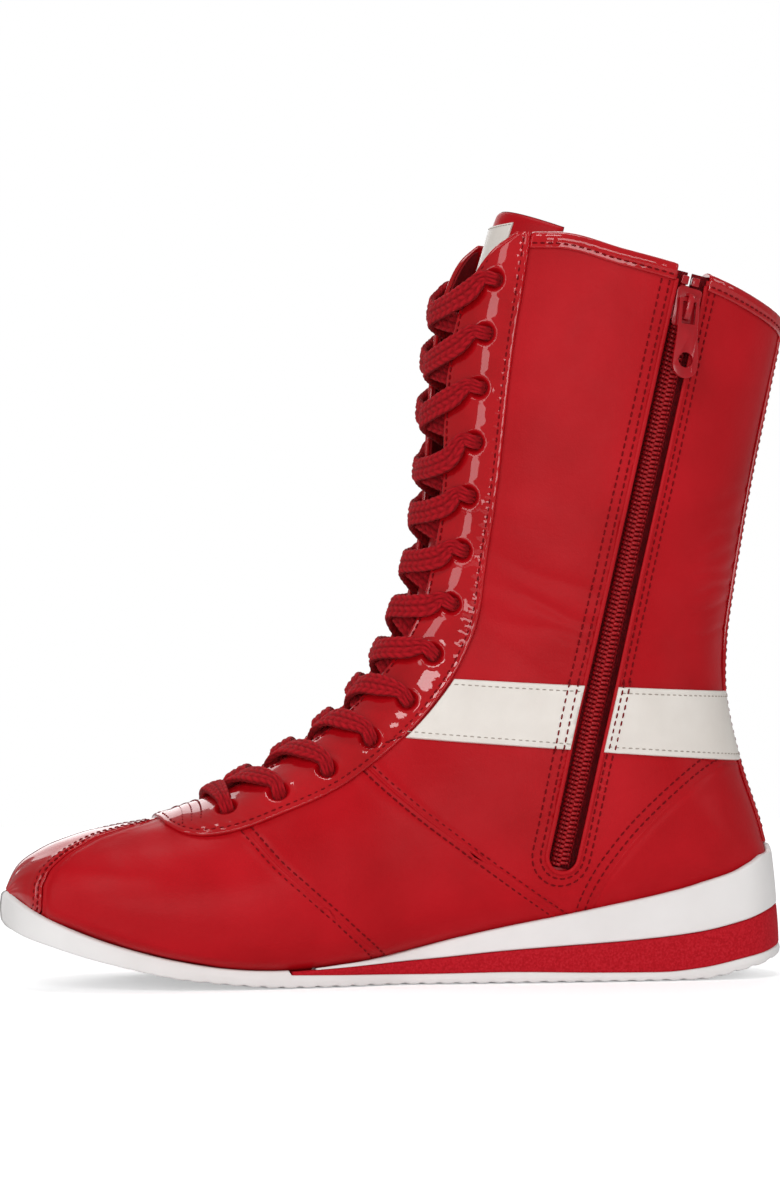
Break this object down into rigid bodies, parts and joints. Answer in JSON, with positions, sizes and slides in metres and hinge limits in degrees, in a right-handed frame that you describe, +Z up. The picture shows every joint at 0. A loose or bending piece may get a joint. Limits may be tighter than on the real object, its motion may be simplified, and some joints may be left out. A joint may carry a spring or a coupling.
{
  "type": "boxing boot",
  "caption": "High lace-up boxing boot in red leather with a side zip, patent trim, a plain ankle band and a wedge sole.",
  "frame": {"origin": "on the ground under the middle of the boot's length and width", "axes": "+Z up, +X towards the heel, -X towards the toe, -Y towards the inner side, where the zip is"},
  "size_m": [0.2714, 0.0881, 0.2627],
  "materials": {
    "white_rubber": "satin moulded rubber",
    "red_foam": "matte speckled foam rubber",
    "fibre_board": "matte pressed board",
    "smooth_leather": "smooth, slightly glossy",
    "patent_leather": "patent, glossy",
    "white_leather": "smooth, off-white",
    "red_cloth": "matte lining cloth",
    "lace_braid": "flat herringbone braid",
    "clear_plastic": "clear film over the lace end",
    "zip_tape": "woven tape and nylon coil",
    "painted_metal": "red enamel"
  },
  "bodies": {
    "boot": {"outsole": "white_rubber", "midsole_wedge": "red_foam", "midsole": "white_rubber", "insole_board": "fibre_board", "footbed": "red_cloth", "toe_puff": "fibre_board", "heel_counter": "fibre_board", "toe_cap": "patent_leather", "vamp_medial": "smooth_leather", "vamp_lateral": "smooth_leather", "waist_medial": "smooth_leather", "waist_lateral": "smooth_leather", "quarter_medial": "smooth_leather", "quarter_lateral": "smooth_leather", "heel_medial": "smooth_leather", "heel_lateral": "smooth_leather", "lining_medial": "red_cloth", "lining_lateral": "red_cloth", "lining_forefoot": "red_cloth", "facing_lining_medial": "red_cloth", "facing_lining_lateral": "red_cloth", "eyestay": "patent_leather", "tongue": "red_cloth", "tongue_label": "white_leather", "lace": "lace_braid", "aglet_medial": "clear_plastic", "aglet_lateral": "clear_plastic", "ankle_band_front": "white_leather", "ankle_band_rear": "white_leather", "ankle_band_lateral": "white_leather", "backstay": "patent_leather", "collar_binding_front": "patent_leather", "collar_binding_rear": "patent_leather", "zip_tape_front": "zip_tape", "zip_tape_rear": "zip_tape", "zip_coil_front": "zip_tape", "zip_coil_rear": "zip_tape", "zip_top_stop_front": "painted_metal", "zip_top_stop_rear": "painted_metal", "zip_bottom_stop": "painted_metal", "zip_guard": "red_cloth"},
    "zip_slider": {"zip_slider": "painted_metal"},
    "zip_pull": {"zip_pull": "painted_metal"}
  },
  "joints": [
    {"name": "zip_slide", "type": "slide", "parent": "boot", "child": "zip_slider", "axis": [-0.2182, 0.0285, -0.9755], "range_m": [0, 0.184]},
    {"name": "pull_swing", "type": "hinge", "parent": "zip_slider", "child": "zip_pull", "pos_m": [0.09187, -0.04089, 0.22896], "axis": [-0.9717, -0.0987, 0.2144], "range_deg": [0, 145]}
  ]
}
